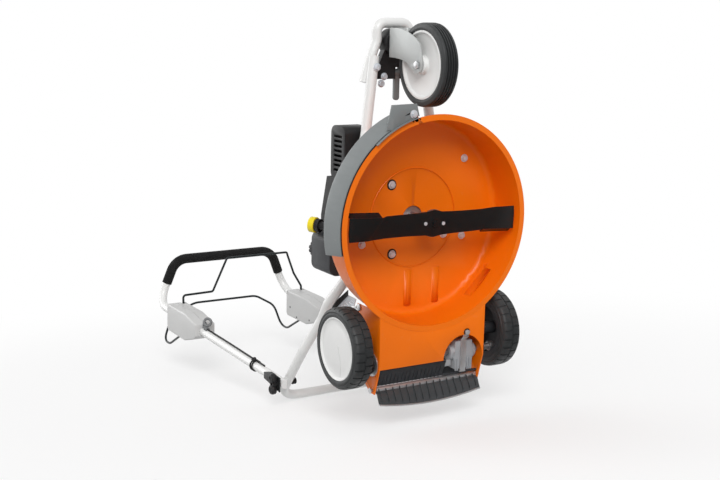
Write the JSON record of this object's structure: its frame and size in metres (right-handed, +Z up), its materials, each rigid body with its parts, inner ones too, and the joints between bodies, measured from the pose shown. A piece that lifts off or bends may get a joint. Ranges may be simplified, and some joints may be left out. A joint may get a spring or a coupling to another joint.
{
  "type": "petrol lawn mower",
  "caption": "Petrol lawn mower on three wheels with a round pressed deck, a swivelling front wheel, rear drive, side skirt and a folding tubular handle with two bails.",
  "frame": {"origin": "on the ground, straight below the blade spindle, with the mower standing on its three wheels", "axes": "+X forward to the swivelling wheel, +Y to the mower's left, +Z up along the spindle"},
  "size_m": [1.0643, 0.5505, 1.2867],
  "materials": {
    "orange_paint": "gloss",
    "grey_paint": "satin",
    "white_paint": "gloss",
    "dark_paint": "satin",
    "black_coat": "satin",
    "zinc": "satin",
    "steel": "satin",
    "alloy": "matt",
    "cast_iron": "matt",
    "rubber": "matt",
    "tyre": "matt",
    "white_plastic": "gloss",
    "black_plastic": "matt",
    "dark_plastic": "matt",
    "yellow_plastic": "gloss",
    "foam": "matt"
  },
  "bodies": {
    "chassis": {"deck_housing": "orange_paint", "rear_panel": "orange_paint", "deck_skirt": "grey_paint", "skirt_seal": "rubber", "hex_bolts": "zinc", "frame_tubes": "white_paint", "front_yoke": "white_paint", "swivel_housing": "black_plastic", "height_plates": "zinc", "gearbox_housing": "alloy", "gearbox_strap": "zinc", "drive_belt": "rubber", "crankcase": "alloy", "cylinder": "alloy", "cylinder_head": "alloy", "piston": "alloy", "engine_shroud": "black_plastic", "starter_cover": "black_plastic", "starter_grip": "black_plastic", "air_filter_cover": "black_plastic", "carburettor": "alloy", "fuel_tank": "dark_plastic", "oil_tube": "black_plastic", "muffler": "cast_iron", "spark_plug": "black_plastic", "lower_handle": "grey_paint", "flap_rod": "zinc"},
    "rotor": {"crankshaft": "steel", "flywheel": "alloy", "engine_pulley": "zinc", "blade_carrier": "steel", "blade": "dark_paint", "blade_bolt": "zinc"},
    "gearbox_input": {"gearbox_pulley": "zinc"},
    "drive_axle": {"drive_shaft": "steel"},
    "arm_left": {"height_arm_left": "dark_paint"},
    "arm_right": {"height_arm_right": "dark_paint"},
    "wheel_left": {"rear_wheel_left": "white_plastic", "rear_tyre_left": "tyre"},
    "wheel_right": {"rear_wheel_right": "white_plastic", "rear_tyre_right": "tyre"},
    "fork": {"swivel_fork": "grey_paint", "front_axle": "zinc"},
    "wheel_front": {"front_wheel": "white_plastic", "front_tyre": "tyre"},
    "swivel_lock": {"lock_lever": "grey_paint"},
    "handle": {"upper_handle": "white_paint", "grip": "foam", "control_box_left": "white_plastic", "control_box_right": "white_plastic", "control_cables": "rubber", "clamp_brackets": "dark_paint"},
    "knob_left": {"clamp_knob_left": "black_plastic"},
    "knob_right": {"clamp_knob_right": "black_plastic"},
    "stop_lever": {"stop_bail": "black_coat"},
    "drive_lever": {"drive_bail": "black_coat"},
    "flap": {"rear_flap": "dark_plastic"},
    "tank_cap": {"fuel_cap": "black_plastic"},
    "dipstick": {"oil_cap": "yellow_plastic"},
    "governor": {"governor_lever": "zinc"}
  },
  "joints": [
    {"name": "engine_spin", "type": "hinge", "parent": "chassis", "child": "rotor", "pos_m": [0, 0, 0], "axis": [0, 0, 1], "continuous": true},
    {"name": "gearbox_input_spin", "type": "hinge", "parent": "chassis", "child": "gearbox_input", "pos_m": [-0.345, 0.104, 0], "axis": [0, 0, 1], "continuous": true},
    {"name": "drive_axle_spin", "type": "hinge", "parent": "chassis", "child": "drive_axle", "pos_m": [-0.338, 0, 0.075], "axis": [0, 1, 0], "continuous": true},
    {"name": "height_left", "type": "hinge", "parent": "chassis", "child": "arm_left", "pos_m": [-0.338, 0, 0.075], "axis": [0, 1, 0], "range_deg": [0, 50]},
    {"name": "height_right", "type": "hinge", "parent": "chassis", "child": "arm_right", "pos_m": [-0.338, 0, 0.075], "axis": [0, 1, 0], "range_deg": [0, 50]},
    {"name": "rear_wheel_left_spin", "type": "hinge", "parent": "arm_left", "child": "wheel_left", "pos_m": [-0.296, 0, 0.1], "axis": [0, 1, 0], "continuous": true},
    {"name": "rear_wheel_right_spin", "type": "hinge", "parent": "arm_right", "child": "wheel_right", "pos_m": [-0.296, 0, 0.1], "axis": [0, 1, 0], "continuous": true},
    {"name": "fork_swivel", "type": "hinge", "parent": "chassis", "child": "fork", "pos_m": [0.425, 0, 0], "axis": [0, 0, 1], "continuous": true},
    {"name": "front_wheel_spin", "type": "hinge", "parent": "fork", "child": "wheel_front", "pos_m": [0.377, 0, 0.1], "axis": [0, 1, 0], "continuous": true},
    {"name": "swivel_lock_tilt", "type": "hinge", "parent": "chassis", "child": "swivel_lock", "pos_m": [0.35, 0, 0.2628], "axis": [0, 1, 0], "range_deg": [0, 25]},
    {"name": "handle_fold", "type": "hinge", "parent": "chassis", "child": "handle", "pos_m": [-0.484, 0, 0.446], "axis": [0, 1, 0], "range_deg": [-52, 60]},
    {"name": "knob_left_turn", "type": "hinge", "parent": "handle", "child": "knob_left", "pos_m": [-0.484, 0, 0.446], "axis": [0, 1, 0], "range_deg": [0, 360]},
    {"name": "knob_right_turn", "type": "hinge", "parent": "handle", "child": "knob_right", "pos_m": [-0.484, 0, 0.446], "axis": [0, 1, 0], "range_deg": [-360, 0]},
    {"name": "stop_lever_squeeze", "type": "hinge", "parent": "handle", "child": "stop_lever", "pos_m": [-0.433, 0, 1.157], "axis": [0, 1, 0], "range_deg": [-30, 0], "stiffness_Nm_per_rad": 1},
    {"name": "drive_lever_squeeze", "type": "hinge", "parent": "handle", "child": "drive_lever", "pos_m": [-0.503, 0, 1.092], "axis": [0, 1, 0], "range_deg": [0, 12], "stiffness_Nm_per_rad": 1},
    {"name": "flap_swing", "type": "hinge", "parent": "chassis", "child": "flap", "pos_m": [-0.404, 0, 0.071], "axis": [0, 1, 0], "range_deg": [0, 75]},
    {"name": "tank_cap_turn", "type": "hinge", "parent": "chassis", "child": "tank_cap", "pos_m": [-0.104, -0.154, 0], "axis": [0, 0, 1], "range_deg": [0, 120]},
    {"name": "dipstick_turn", "type": "hinge", "parent": "chassis", "child": "dipstick", "pos_m": [-0.036, -0.176, 0.322], "axis": [0.0318, -0.5096, 0.8598], "range_deg": [0, 120]},
    {"name": "governor_swing", "type": "hinge", "parent": "chassis", "child": "governor", "pos_m": [0.062, -0.144, 0.268], "axis": [0, 1, 0], "range_deg": [-12, 12], "stiffness_Nm_per_rad": 0.02}
  ],
  "couplings": [
    {"joint": "gearbox_input_spin", "follows": "engine_spin", "ratio": 0.72727}
  ]
}
